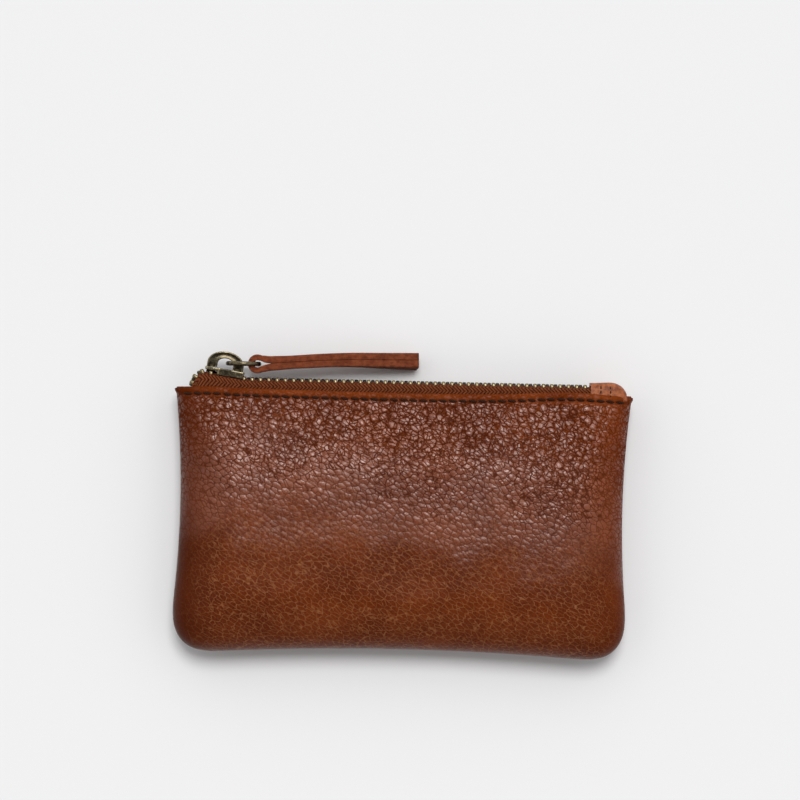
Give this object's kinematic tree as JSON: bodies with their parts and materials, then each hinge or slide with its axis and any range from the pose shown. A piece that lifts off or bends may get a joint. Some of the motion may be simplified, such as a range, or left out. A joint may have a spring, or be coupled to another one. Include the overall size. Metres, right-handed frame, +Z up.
{
  "type": "zippered pouch",
  "caption": "Small flat leather zip pouch with a brass zip, a ring and a folded leather pull strap, lying on its back.",
  "frame": {"origin": "middle of the flat face of the back panel, on the surface that the pouch lies on", "axes": "+X right along the zip, +Y from the bottom seam towards the zip, +Z up out of the front panel"},
  "size_m": [0.14, 0.0913, 0.021],
  "materials": {
    "leather": "pebbled, semi-gloss tan leather",
    "strap_leather": "raw cut edge, matte",
    "tab_leather": "smooth, satin",
    "lining": "plain woven cotton",
    "tape": "herringbone zip tape",
    "thread": "waxed thread",
    "brass": "antique, darkened in the recesses"
  },
  "bodies": {
    "pouch": {"front_panel": "leather", "back_panel": "leather", "front_lining": "lining", "back_lining": "lining", "seam_stitches": "thread", "front_zip_tape": "tape", "back_zip_tape": "tape", "front_teeth": "brass", "back_teeth": "brass", "front_top_stop": "brass", "back_top_stop": "brass", "bottom_stop": "brass", "end_tab": "tab_leather", "end_tab_stitches": "thread", "front_edge_stitches": "thread", "back_edge_stitches": "thread"},
    "slider": {"slider_body": "brass", "slider_bridge": "brass"},
    "ring": {"pull_ring": "brass"},
    "strap": {"pull_strap": "strap_leather"}
  },
  "joints": [
    {"name": "slider_slide", "type": "slide", "parent": "pouch", "child": "slider", "axis": [1, 0, 0], "range_m": [0, 0.1035], "deforming": ["front_teeth", "back_teeth", "front_zip_tape", "back_zip_tape"]},
    {"name": "ring_swing", "type": "hinge", "parent": "slider", "child": "ring", "pos_m": [-0.05315, 0.04766, 0.009], "axis": [0, 0, 1], "range_deg": [0, 130]},
    {"name": "strap_swing", "type": "hinge", "parent": "ring", "child": "strap", "pos_m": [-0.0442, 0.04766, 0.009], "axis": [0, 0, 1], "range_deg": [-3, 60]}
  ]
}
